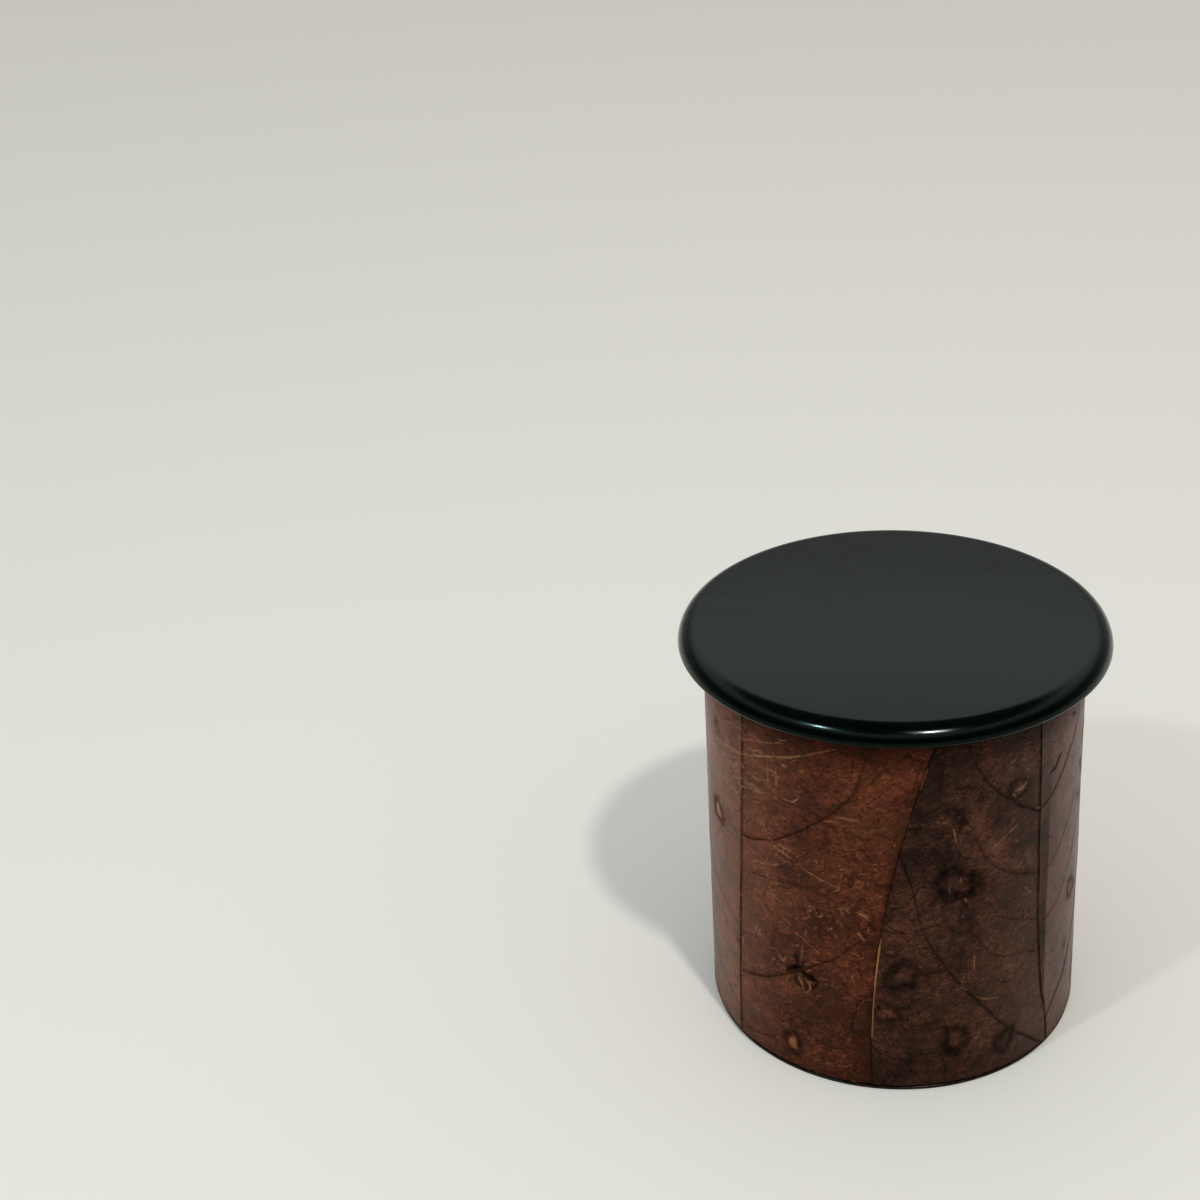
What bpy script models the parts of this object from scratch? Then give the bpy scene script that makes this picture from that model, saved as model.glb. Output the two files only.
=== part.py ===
"""Japanese tea caddy: a straight lacquered cylinder covered with persimmon leaves, under a wide black lid.

Run it with:  blender --background --python part.py

Metres, +Z up. The origin is the middle of the foot, on the surface that the caddy stands on. The front, where the
reddish leaf meets the dark one, faces -Y. Angles on the wall are turned from the front, positive towards +X.

The wall is built up in layers: a thin wooden core tube, lacquered black inside, a paper wrap pasted round it, and
four leaves pasted over the paper. The bottom is a board with a plug that fills the tube's lower end. The lid is a
turned plate with a collar let into a groove in its underside, and the collar drops into the mouth.
"""

import math

import bmesh
import bpy

# Driving dimensions
BODY_RADIUS = 0.0330  # over the leaves
LID_RADIUS = 0.0373
MOUTH_HEIGHT = 0.0716  # top of the core tube
GLUE_GAP = 0.0003  # left between any two glued or resting pieces
LID_CLEARANCE = 0.0003  # between the lid's collar and the mouth, all round

# Layers of the wall
LEAF_THICKNESS = 0.0003
PAPER_THICKNESS = 0.0003
CORE_THICKNESS = 0.0022
TRIM = 0.0002  # how far the leaves and the paper stop short of the mouth's top

LEAF_INNER_RADIUS = BODY_RADIUS - LEAF_THICKNESS
WRAP_RADIUS = LEAF_INNER_RADIUS - GLUE_GAP
CORE_RADIUS = WRAP_RADIUS - PAPER_THICKNESS - GLUE_GAP
MOUTH_RADIUS = CORE_RADIUS - CORE_THICKNESS

# Base board: a thin flange under the wall, a plug inside it, and a shallow turned hollow underneath
FLANGE_RADIUS = BODY_RADIUS - 0.0002
FLANGE_HEIGHT = 0.0006
FLANGE_CHAMFER = 0.0002
PLUG_RADIUS = MOUTH_RADIUS - GLUE_GAP
PLUG_TOP = 0.0034
FOOT_INNER_RADIUS = 0.0285
FOOT_HOLLOW = 0.0005

WALL_BOTTOM = FLANGE_HEIGHT + GLUE_GAP
WALL_TOP = MOUTH_HEIGHT - TRIM
MOUTH_ROUNDING = 0.0004

# Lid
LID_UNDERSIDE = MOUTH_HEIGHT + GLUE_GAP
LID_EDGE_WIDTH = 0.0030  # of the rounded rim, seen from above
LID_EDGE_HEIGHT = 0.0029
LID_LIP = 0.0006  # the small rounding under the rim
LID_CROWN = 0.0010  # rise of the domed top
COLLAR_RADIUS = MOUTH_RADIUS - LID_CLEARANCE
COLLAR_THICKNESS = 0.0020
COLLAR_DEPTH = 0.0058  # below the lid's underside
GROOVE_DEPTH = 0.0010

# Leaves. Each lies over the one on its left, so a seam is the left margin of the leaf that starts there.
# A margin is furthest left low down, at MARGIN_WIDEST, and drifts right above that, as a leaf narrows to its tip.
MARGIN_WIDEST = 0.009
SEAMS = (
    # node of the leaf that starts here, angle at the widest height, drift at the mouth, colour
    ("leaf_front_right", -5.7, 19.0, (0.105, 0.042, 0.028)),
    ("leaf_back_right", 98.0, 15.0, (0.170, 0.055, 0.030)),
    ("leaf_back_left", 176.0, 21.0, (0.120, 0.058, 0.030)),
    ("leaf_front_left", 255.0, 13.0, (0.200, 0.062, 0.032)),
)

# Facets
TURNED_STEPS = 72
ROUNDING_STEPS = 6
CROWN_STEPS = 5
LEAF_COLUMNS = 18
LEAF_ROWS = 9


def clear_scene():
    """Removes every object of the file it runs in."""
    for obj in list(bpy.data.objects):
        bpy.data.objects.remove(obj, do_unlink=True)


def coating(name, colour, roughness):
    """A plain material of one colour, for lacquer, leaf or paper."""
    material = bpy.data.materials.new(name)
    material.use_nodes = True
    shader = material.node_tree.nodes["Principled BSDF"]
    shader.inputs["Base Color"].default_value = (*colour, 1.0)
    shader.inputs["Roughness"].default_value = roughness
    shader.inputs["Metallic"].default_value = 0.0
    return material


def place(bm, name, material):
    """Turns a bmesh into a named object with its material."""
    mesh = bpy.data.meshes.new(name)
    bm.to_mesh(mesh)
    bm.free()
    mesh.materials.append(material)
    mesh.shade_smooth()
    mesh.set_sharp_from_angle(angle=math.radians(35))
    obj = bpy.data.objects.new(name, mesh)
    bpy.context.scene.collection.objects.link(obj)
    return obj


def turned(name, outline, material, ring=False):
    """A turned piece. The outline's points are (radius, height). A ring's outline closes on itself, and any other
    outline runs from the axis to the axis."""
    bm = bmesh.new()
    points = [bm.verts.new((radius, 0.0, height)) for radius, height in outline]
    edges = [bm.edges.new(pair) for pair in zip(points, points[1:])]
    if ring:
        edges.append(bm.edges.new((points[-1], points[0])))
    bmesh.ops.spin(
        bm,
        geom=points + edges,
        axis=(0.0, 0.0, 1.0),
        angle=2 * math.pi,
        steps=TURNED_STEPS,
    )
    bmesh.ops.remove_doubles(bm, verts=bm.verts, dist=1e-6)
    bmesh.ops.recalc_face_normals(bm, faces=bm.faces)
    return place(bm, name, material)


def quarter_round(centre, across, up, start, end, steps=ROUNDING_STEPS):
    """Points of an elliptic arc round a centre, from one angle to another in degrees."""
    points = []
    for step in range(steps + 1):
        angle = math.radians(start + (end - start) * step / steps)
        points.append((centre[0] + across * math.cos(angle), centre[1] + up * math.sin(angle)))
    return points


def base_board(material):
    """The bottom board: its flange carries the wall and shows as the dark line at the foot."""
    outline = [
        (0.0, PLUG_TOP),
        (PLUG_RADIUS, PLUG_TOP),
        (PLUG_RADIUS, FLANGE_HEIGHT),
        (FLANGE_RADIUS, FLANGE_HEIGHT),
        (FLANGE_RADIUS, FLANGE_CHAMFER),
        (FLANGE_RADIUS - FLANGE_CHAMFER, 0.0),
        (FOOT_INNER_RADIUS, 0.0),
        (FOOT_INNER_RADIUS - FOOT_HOLLOW, FOOT_HOLLOW),
        (0.0, FOOT_HOLLOW),
    ]
    return turned("base_board", outline, material)


def core_tube(material):
    """The thin wooden wall, lacquered black, with its mouth rounded over."""
    centre_height = MOUTH_HEIGHT - MOUTH_ROUNDING
    outline = [(MOUTH_RADIUS, WALL_BOTTOM), (CORE_RADIUS, WALL_BOTTOM)]
    outline += quarter_round(
        (CORE_RADIUS - MOUTH_ROUNDING, centre_height), MOUTH_ROUNDING, MOUTH_ROUNDING, 0, 90, 3
    )
    outline += quarter_round(
        (MOUTH_RADIUS + MOUTH_ROUNDING, centre_height), MOUTH_ROUNDING, MOUTH_ROUNDING, 90, 180, 3
    )
    return turned("core_tube", outline, material, ring=True)


def sleeve(name, outer_radius, thickness, bottom, top, material):
    """A plain sleeve of paper or wood."""
    inner_radius = outer_radius - thickness
    outline = [
        (inner_radius, bottom),
        (outer_radius, bottom),
        (outer_radius, top),
        (inner_radius, top),
    ]
    return turned(name, outline, material, ring=True)


def lid_plate(material):
    """The lid's turned plate: a low dome, a rounded rim with a small lip, and a groove for the collar."""
    dome_radius = LID_RADIUS - LID_EDGE_WIDTH
    rim_height = LID_UNDERSIDE + LID_LIP
    dome_foot = rim_height + LID_EDGE_HEIGHT
    outline = []
    for step in range(CROWN_STEPS):
        share = step / CROWN_STEPS
        outline.append((dome_radius * share, dome_foot + LID_CROWN * (1 - share**2)))
    outline += quarter_round((dome_radius, rim_height), LID_EDGE_WIDTH, LID_EDGE_HEIGHT, 90, 0)
    outline += quarter_round((LID_RADIUS - LID_LIP, rim_height), LID_LIP, LID_LIP, -30, -90, 2)
    groove_outer = COLLAR_RADIUS + GLUE_GAP
    groove_inner = COLLAR_RADIUS - COLLAR_THICKNESS - GLUE_GAP
    outline += [
        (groove_outer, LID_UNDERSIDE),
        (groove_outer, LID_UNDERSIDE + GROOVE_DEPTH),
        (groove_inner, LID_UNDERSIDE + GROOVE_DEPTH),
        (groove_inner, LID_UNDERSIDE),
        (0.0, LID_UNDERSIDE),
    ]
    return turned("lid_plate", outline, material)


def lid_collar(material):
    """The ring that drops into the mouth, glued into the plate's groove."""
    return sleeve(
        "lid_collar",
        COLLAR_RADIUS,
        COLLAR_THICKNESS,
        LID_UNDERSIDE - COLLAR_DEPTH,
        LID_UNDERSIDE + GROOVE_DEPTH - GLUE_GAP,
        material,
    )


def margin(angle, drift, height):
    """Angle of a leaf's left margin at a height, in radians."""
    share = (height - MARGIN_WIDEST) / (WALL_TOP - MARGIN_WIDEST)
    return math.radians(angle + drift * share**2)


def leaf(name, left, right, material):
    """One leaf, glued round its part of the wall. left and right are (angle, drift) of its two seams."""
    half_gap = GLUE_GAP / 2 / BODY_RADIUS
    bm = bmesh.new()
    rows = []
    for row in range(LEAF_ROWS + 1):
        height = WALL_BOTTOM + (WALL_TOP - WALL_BOTTOM) * row / LEAF_ROWS
        first = margin(*left, height) + half_gap
        last = margin(*right, height) - half_gap
        angles = [first + (last - first) * column / LEAF_COLUMNS for column in range(LEAF_COLUMNS + 1)]
        rows.append(
            [
                bm.verts.new((BODY_RADIUS * math.sin(a), -BODY_RADIUS * math.cos(a), height))
                for a in angles
            ]
        )
    for lower, upper in zip(rows, rows[1:]):
        for column in range(LEAF_COLUMNS):
            bm.faces.new((lower[column], lower[column + 1], upper[column + 1], upper[column]))
    obj = place(bm, name, material)
    skin = obj.modifiers.new("thickness", "SOLIDIFY")
    skin.thickness = LEAF_THICKNESS
    skin.offset = -1.0
    return obj


def leaves():
    """Four leaves round the wall, each from its own seam to the next one."""
    full_turn = 360.0
    for index, (name, angle, drift, colour) in enumerate(SEAMS):
        _, next_angle, next_drift, _ = SEAMS[(index + 1) % len(SEAMS)]
        if next_angle < angle:
            next_angle += full_turn
        skin = coating(name, colour, 0.32)
        leaf(name, (angle, drift), (next_angle, next_drift), skin)


def main():
    clear_scene()
    black_lacquer = coating("black_lacquer", (0.006, 0.006, 0.007), 0.12)
    satin_lacquer = coating("satin_black_lacquer", (0.010, 0.009, 0.009), 0.30)
    paper = coating("mulberry_paper", (0.62, 0.50, 0.36), 0.75)

    base_board(satin_lacquer)
    core_tube(satin_lacquer)
    sleeve("paper_wrap", WRAP_RADIUS, PAPER_THICKNESS, WALL_BOTTOM, WALL_TOP, paper)
    leaves()
    lid_plate(black_lacquer)
    lid_collar(black_lacquer)


main()
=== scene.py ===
"""The looks of a lacquered tea caddy whose wall is covered with persimmon leaves, around its CAD model.

Lengths are in millimetres, except those of the camera, the floor and the lamps, which are in metres. MM turns
millimetres into metres. A place on the wall is (s, z): s runs round the wall from the front (-Y), positive to
the right, and z is the height.
"""

import math

import bpy
import numpy as np
from mathutils import Matrix, Vector


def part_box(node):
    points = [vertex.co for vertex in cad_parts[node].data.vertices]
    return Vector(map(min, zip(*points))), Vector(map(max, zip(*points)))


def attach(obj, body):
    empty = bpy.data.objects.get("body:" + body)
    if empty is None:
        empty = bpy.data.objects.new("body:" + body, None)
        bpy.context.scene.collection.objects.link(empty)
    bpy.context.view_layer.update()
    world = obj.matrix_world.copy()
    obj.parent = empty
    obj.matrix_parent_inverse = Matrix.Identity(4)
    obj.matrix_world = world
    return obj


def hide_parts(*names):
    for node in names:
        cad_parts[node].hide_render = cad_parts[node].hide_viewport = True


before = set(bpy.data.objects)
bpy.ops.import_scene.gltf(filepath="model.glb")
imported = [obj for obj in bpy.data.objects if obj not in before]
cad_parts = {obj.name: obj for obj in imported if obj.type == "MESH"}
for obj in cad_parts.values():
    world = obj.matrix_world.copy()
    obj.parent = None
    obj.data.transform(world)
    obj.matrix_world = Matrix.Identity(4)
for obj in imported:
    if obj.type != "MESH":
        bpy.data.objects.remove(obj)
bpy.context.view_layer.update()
MM = 0.001

# ---------- Sizes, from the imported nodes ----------


def reach_of(node):
    """(outer radius, lowest height, highest height) of a round node."""
    low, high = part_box(node)
    return high.x / MM, low.z / MM, high.z / MM


LID_RADIUS, LID_UNDERSIDE, LID_TOP = reach_of("lid_plate")
COLLAR_RADIUS, COLLAR_BOTTOM, COLLAR_TOP = reach_of("lid_collar")
CORE_RADIUS, WALL_BOTTOM, MOUTH_TOP = reach_of("core_tube")
BOARD_RADIUS, _, BOARD_TOP = reach_of("base_board")
PAPER_RADIUS, _, WALL_TOP = reach_of("paper_wrap")
LEAF_THICKNESS = 0.3
GLUE_GAP = 0.3
WALL_RADIUS = PAPER_RADIUS + (LEAF_THICKNESS + GLUE_GAP)  # over the leaves
LEAF_INNER_RADIUS = WALL_RADIUS - LEAF_THICKNESS
LID_CLEARANCE = 0.3
MOUTH_RADIUS = COLLAR_RADIUS + LID_CLEARANCE
COLLAR_THICKNESS = 2.0
FLANGE_TOP = 0.6  # the part of the base board that shows under the leaves

# ---------- Camera, floor and light ----------


def add_camera():
    """Stands in front of the caddy and above it, and looks a little to the left of it."""
    distance, height = 0.3263, 0.2511
    yaw, pitch, roll = (math.radians(angle) for angle in (-8.696, 24.928, 3.382))
    forward = Vector(
        (math.sin(yaw) * math.cos(pitch), math.cos(yaw) * math.cos(pitch), -math.sin(pitch))
    )
    level = Vector((math.cos(yaw), -math.sin(yaw), 0.0))
    down = forward.cross(level)
    right = level * math.cos(roll) + down * math.sin(roll)
    up = level * math.sin(roll) - down * math.cos(roll)
    data = bpy.data.cameras.new("camera")
    data.sensor_width = 36.0
    data.lens = 63.59
    data.shift_y = -1 / 12
    data.clip_start = 0.01
    camera = bpy.data.objects.new("camera", data)
    axes = Matrix((right, up, -forward)).transposed().to_4x4()
    camera.matrix_world = Matrix.Translation((0.0, -distance, height)) @ axes
    bpy.context.scene.collection.objects.link(camera)
    bpy.context.scene.camera = camera


def add_floor():
    """A plain pale tabletop."""
    half = 4.0
    mesh = bpy.data.meshes.new("floor")
    corners = [(-half, -half, 0), (half, -half, 0), (half, half, 0), (-half, half, 0)]
    mesh.from_pydata(corners, [], [(0, 1, 2, 3)])
    floor = bpy.data.objects.new("floor", mesh)
    floor.location.z = -0.05 * MM
    bpy.context.scene.collection.objects.link(floor)
    graph = Graph("floor")
    graph.set({"Base Color": (0.82, 0.80, 0.755, 1), "Roughness": 0.55, "Specular IOR Level": 0.25})
    mesh.materials.append(graph.material)


LAMP_DISTANCE = 1.1
LAMP_SIZE = 0.07


def add_lamp(name, azimuth, elevation, power, colour):
    """A round area lamp aimed at the lid. Azimuth 0 is at the front and 90 at the right."""
    turn, rise = math.radians(azimuth), math.radians(elevation)
    away = Vector((math.sin(turn) * math.cos(rise), -math.cos(turn) * math.cos(rise), math.sin(rise)))
    data = bpy.data.lights.new(name, "AREA")
    data.shape = "DISK"
    data.size = LAMP_SIZE
    data.energy = power
    data.color = colour
    lamp = bpy.data.objects.new(name, data)
    lamp.location = Vector((0, 0, LID_TOP * MM)) + away * LAMP_DISTANCE
    lamp.rotation_mode = "QUATERNION"
    lamp.rotation_quaternion = away.to_track_quat("Z", "Y")
    bpy.context.scene.collection.objects.link(lamp)


# The surround: (height of a direction, from 0 at the horizon to 1 straight above, and its brightness)
SURROUND = ((0.36, 0.44), (0.42, 0.64), (0.54, 0.92), (0.67, 1.06), (0.79, 0.46))


def add_light():
    """Two small lamps above the front and a pale surround, brightest about halfway up."""
    add_lamp("lamp_left", azimuth=-43, elevation=45, power=2.0, colour=(0.66, 0.88, 1.0))
    add_lamp("lamp_right", azimuth=27, elevation=56, power=4.2, colour=(1.0, 0.97, 0.92))
    world = bpy.data.worlds.new("surround")
    bpy.context.scene.world = world
    world.use_nodes = True
    tree = world.node_tree
    place = tree.nodes.new("ShaderNodeTexCoord")
    split = tree.nodes.new("ShaderNodeSeparateXYZ")
    ramp = tree.nodes.new("ShaderNodeValToRGB")
    tree.links.new(place.outputs["Generated"], split.inputs[0])
    tree.links.new(split.outputs["Z"], ramp.inputs[0])
    tree.links.new(ramp.outputs[0], tree.nodes["Background"].inputs["Color"])
    stops = ramp.color_ramp.elements
    stops[0].position, stops[0].color = 0.0, (0.42, 0.41, 0.39, 1)
    stops[1].position, stops[1].color = 1.0, (0.44, 0.43, 0.41, 1)
    for height, level in SURROUND:
        stops.new(height).color = (level, level, 0.98 * level, 1)


# Where the deep shadows fall: (tone, what it is shown as)
SHADOWS = (
    (0.02, 0.002), (0.035, 0.010), (0.05, 0.022), (0.08, 0.052), (0.12, 0.095), (0.2, 0.18), (0.35, 0.34),
)


def set_view():
    """The plain view transform, with the deep shadows of a snapshot: tones near black fall away."""
    view = bpy.context.scene.view_settings
    view.view_transform = "Standard"
    view.use_curve_mapping = True
    response = view.curve_mapping
    combined = response.curves[3]
    for tone, shown in SHADOWS:
        combined.points.new(tone, shown)
    response.update()


# ---------- Materials ----------

BLACK_LACQUER_IOR = 1.43
LEAF_LACQUER_IOR = 1.38
DUST = (0.10, 0.10, 0.09, 1)
# The leaves' darkest colour: their grime, and the painted shade under the lid, at the seams and in a fold.
GRIME_AND_SHADE = (0.0065, 0.0058, 0.0052, 1)
RUBBED = (0.24, 0.115, 0.062, 1)  # a leaf where its lacquer is rubbed thin
GOLD = (0.62, 0.38, 0.13, 1)  # and where it is rubbed through

# Cracks in the leaves' lacquer: (cells to the millimetre, width of a crack in millimetres)
COARSE_CRACKS = (0.20, 0.13)
FINE_CRACKS = (0.62, 0.10)


class Graph:
    """A material and short calls that build its nodes."""

    def __init__(self, name):
        self.material = bpy.data.materials.new(name)
        self.material.use_nodes = True
        self.tree = self.material.node_tree
        self.shader = self.tree.nodes["Principled BSDF"]

    def feed(self, socket, value):
        if isinstance(value, bpy.types.NodeSocket):
            self.tree.links.new(value, socket)
        else:
            socket.default_value = value

    def set(self, inputs):
        """Feeds the Principled shader's inputs."""
        for name, value in inputs.items():
            self.feed(self.shader.inputs[name], value)

    def node(self, kind, inputs=(), out=0, **settings):
        """Adds a node and returns one of its outputs. inputs is {name or index: value or output}."""
        made = self.tree.nodes.new("ShaderNode" + kind)
        for name, value in settings.items():
            setattr(made, name, value)
        for name, value in dict(inputs).items():
            self.feed(made.inputs[name], value)
        return made.outputs[out]

    def math(self, operation, first, second=0.0, third=0.0):
        return self.node("Math", {0: first, 1: second, 2: third}, operation=operation)

    def mix(self, share, first, second, blend="MIX"):
        """Mixes two colours."""
        return self.node(
            "Mix", {0: share, 6: first, 7: second}, out=2, data_type="RGBA", blend_type=blend
        )

    def noise(self, place, scale, detail=3.0, roughness=0.55):
        """Noise from 0 to 1, with about scale features to each unit of place."""
        return self.node(
            "TexNoise", {"Vector": place, "Scale": scale, "Detail": detail, "Roughness": roughness}
        )

    def span(self, value, low, high, to_low=0.0, to_high=1.0):
        """Maps low..high to to_low..to_high, and holds the ends."""
        return self.node("MapRange", {0: value, 1: low, 2: high, 3: to_low, 4: to_high})

    def cells(self, place, scale, line):
        """1 on the borders of small irregular cells, falling to 0 within line of them, in units of place."""
        distance = self.node(
            "TexVoronoi",
            {"Vector": place, "Scale": scale},
            voronoi_dimensions="2D",
            feature="DISTANCE_TO_EDGE",
        )
        return self.span(distance, 0.0, line * scale, 1.0, 0.0)

    def streaks(self, place, turn, length, width, low):
        """1 in short strokes of about a length and width, near a direction in degrees, and 0 between them.
        low is from 0 to 1, and the strokes are fewer where it is higher."""
        frame_of_stroke = self.node(
            "Mapping",
            {"Vector": place, "Rotation": (0, 0, math.radians(turn)), "Scale": (length, width, 1)},
            vector_type="TEXTURE",
        )
        return self.span(self.noise(frame_of_stroke, 1.0, 1.0, 0.4), low, low + 0.10)

    def bump(self, height, distance):
        """A normal from a height. distance is the height of 1, in metres."""
        return self.node("Bump", {"Height": height, "Distance": distance, "Strength": 1.0})

    def millimetres(self):
        """The object's own coordinates, in millimetres."""
        place = self.node("TexCoord", out=3)
        return self.node("VectorMath", {0: place, 3: 1 / MM}, operation="SCALE")


def lacquer(name, colour, roughness, specks=0.5, wear=None):
    """Black lacquer: nearly flat, with a slow waver left by the brush and dust under the film. wear is
    (low radius, high radius, colour): where the film is rubbed thin."""
    graph = Graph(name)
    place = graph.millimetres()
    waver = graph.noise(place, 0.10, 2.0, 0.4)
    cloud = graph.noise(place, 0.35, 4.0, 0.6)
    dust = graph.noise(place, 3.2, 1.0, 0.4)
    speck = graph.math("MULTIPLY", graph.span(dust, 0.76, 0.80), specks)
    shade = graph.mix(graph.span(cloud, 0.35, 0.7), (*colour, 1), (*(c * 1.5 for c in colour), 1))
    shade = graph.mix(speck, shade, DUST)
    if wear:
        low, high, rubbed = wear
        split = graph.node("VectorMath", {0: place, 1: (1, 1, 0)}, operation="MULTIPLY")
        radius = graph.node("VectorMath", {0: split}, out=1, operation="LENGTH")
        edge = graph.span(radius, low, high)
        patchy = graph.span(graph.noise(place, 0.8, 3.0, 0.6), 0.42, 0.72)
        shade = graph.mix(graph.math("MULTIPLY", edge, patchy), shade, (*rubbed, 1))
    rough = graph.span(cloud, 0.3, 0.75, roughness * 0.9, roughness * 1.15)
    height = graph.math("ADD", graph.math("MULTIPLY", speck, 0.12), waver)
    graph.set(
        {
            "Base Color": shade,
            "Roughness": rough,
            "Normal": graph.bump(height, 0.10 * MM),
            "IOR": BLACK_LACQUER_IOR,
            "Specular Tint": (0.90, 1.0, 0.97, 1),
        }
    )
    return graph.material


def turned_wood_lacquer(name, colour, roughness):
    """Satin black lacquer over turned wood, whose tool rings still show faintly."""
    graph = Graph(name)
    place = graph.millimetres()
    flat = graph.node("VectorMath", {0: place, 1: (1, 1, 0)}, operation="MULTIPLY")
    radius = graph.node("VectorMath", {0: flat}, out=1, operation="LENGTH")
    split = graph.node("SeparateXYZ", {0: place}, out=2)
    along = graph.node("CombineXYZ", {0: radius, 1: split})
    rings = graph.noise(along, 1.1, 2.0, 0.5)
    cloud = graph.noise(place, 0.4, 4.0, 0.6)
    shade = graph.mix(graph.span(cloud, 0.4, 0.7), (*colour, 1), (*(c * 1.8 for c in colour), 1))
    graph.set(
        {
            "Base Color": shade,
            "Roughness": graph.span(cloud, 0.3, 0.7, roughness * 0.85, roughness * 1.3),
            "Normal": graph.bump(graph.math("ADD", rings, graph.math("MULTIPLY", cloud, 0.4)), 0.05 * MM),
        }
    )
    return graph.material


def pasted_paper():
    """Fibrous mulberry paper darkened with lacquer."""
    graph = Graph("lacquered_paper")
    place = graph.millimetres()
    fibres = graph.noise(place, 1.6, 5.0, 0.7)
    shade = graph.mix(graph.span(fibres, 0.35, 0.65), (0.015, 0.010, 0.008, 1), (0.05, 0.032, 0.02, 1))
    graph.set(
        {
            "Base Color": shade,
            "Roughness": graph.span(fibres, 0.3, 0.7, 0.4, 0.65),
            "Normal": graph.bump(fibres, 0.08 * MM),
        }
    )
    return graph.material


def leaf_skin(name, deep, light, olive):
    """A leaf under clear lacquer. deep and light are its two colours, and olive the tint of its slow patches.
    Its veins, spots and rubbings, with the shade and light painted on it, come from the mesh: one attribute
    holds (dark, pale, tone) for each point, where dark also carries painted shade and tone painted light, and
    "wall" holds the point's place in millimetres."""
    graph = Graph(name)
    wall = graph.node("Attribute", out=1, attribute_name="wall")
    marks_and_painted_light = graph.node("Attribute", out=1, attribute_name="marks_and_painted_light")
    dark, pale, tone = (graph.node("SeparateXYZ", {0: marks_and_painted_light}, out=axis) for axis in range(3))

    warp = graph.node("TexNoise", {"Vector": wall, "Scale": 0.6, "Detail": 4.0, "Roughness": 0.65}, out=1)
    bent = graph.node("VectorMath", {0: warp, 1: (2.6, 2.6, 2.6), 2: wall}, operation="MULTIPLY_ADD")
    network = graph.cells(bent, *COARSE_CRACKS)
    fine_network = graph.cells(bent, *FINE_CRACKS)
    cloud = graph.noise(wall, 0.10, 4.0, 0.6)
    hue = graph.noise(wall, 0.17, 3.0, 0.6)
    mottle = graph.noise(wall, 0.7, 5.0, 0.7)
    grain = graph.noise(wall, 2.6, 4.0, 0.75)
    present = graph.span(graph.noise(wall, 0.2, 2.0, 0.5), 0.28, 0.52)

    share = graph.math("ADD", tone, graph.span(cloud, 0.3, 0.7, -0.38, 0.38))
    share = graph.math("ADD", share, graph.span(mottle, 0.32, 0.68, -0.40, 0.40))
    share = graph.node("Math", {0: share, 1: 0.0}, operation="ADD", use_clamp=True)
    shade = graph.mix(share, (*deep, 1), (*light, 1))
    shade = graph.mix(graph.span(hue, 0.46, 0.64, 0.0, 0.6), shade, (*olive, 1))
    value = graph.span(grain, 0.3, 0.7, 0.72, 1.28)
    shade = graph.mix(1.0, shade, graph.node("CombineColor", {0: value, 1: value, 2: value}), "MULTIPLY")

    tan = (*(1.5 * c + 0.02 for c in light), 1)
    strokes = graph.math(
        "MAXIMUM", graph.streaks(bent, 28, 2.0, 0.30, 0.58), graph.streaks(bent, -38, 1.6, 0.28, 0.60)
    )
    strokes = graph.math("MULTIPLY", strokes, graph.span(cloud, 0.38, 0.60, 0.08, 0.40))
    shade = graph.mix(strokes, shade, tan)
    soot = (deep[0] * 0.12, deep[1] * 0.18, deep[2] * 0.25, 1)
    lines = graph.math("MULTIPLY", network, graph.math("MULTIPLY", present, 0.80))
    thin = graph.math("MULTIPLY", fine_network, graph.span(hue, 0.36, 0.56, 0.50, 0.10))
    shade = graph.mix(lines, shade, soot)
    shade = graph.mix(thin, shade, soot)
    # The dark channel: smudges, spots and veins, and painted shade under the lid, at the seams and in the
    # dark leaf's fold.
    smudge = graph.math("MULTIPLY", dark, graph.span(grain, 0.30, 0.60, 1.0, 0.80))
    shade = graph.mix(smudge, shade, GRIME_AND_SHADE)
    rubbed = graph.math("MULTIPLY", graph.span(pale, 0.12, 0.60), graph.span(grain, 0.30, 0.50, 0.55, 1.0))
    worn = graph.mix(graph.span(pale, 0.80, 1.0), RUBBED, GOLD)
    shade = graph.mix(rubbed, shade, worn)

    height = graph.math("MULTIPLY", lines, -0.6)
    for layer, weight in ((thin, -0.4), (mottle, 0.9), (grain, 0.3), (strokes, 0.25)):
        height = graph.math("ADD", height, graph.math("MULTIPLY", layer, weight))
    rough = graph.math(
        "ADD", graph.span(mottle, 0.25, 0.75, 0.24, 0.40), graph.math("MULTIPLY", dark, 0.5)
    )
    graph.set(
        {
            "Base Color": shade,
            "Roughness": rough,
            "Normal": graph.bump(height, 0.07 * MM),
            "IOR": LEAF_LACQUER_IOR,
        }
    )
    return graph.material


# ---------- Turned pieces ----------


def arc(centre, radius, start, end, steps):
    """Points of an arc in (radius, height), from one angle to another in degrees."""
    angles = np.radians(np.linspace(start, end, steps + 1))
    return [(centre[0] + radius * math.cos(a), centre[1] + radius * math.sin(a)) for a in angles]


def as_object(name, points, faces, material, sharp=30):
    """A smooth-shaded object from points in millimetres."""
    mesh = bpy.data.meshes.new(name)
    mesh.from_pydata(np.asarray(points) * MM, [], faces)
    mesh.materials.append(material)
    mesh.shade_smooth()
    mesh.set_sharp_from_angle(angle=math.radians(sharp))
    mesh.update()
    made = bpy.data.objects.new(name, mesh)
    bpy.context.scene.collection.objects.link(made)
    return made


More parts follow.
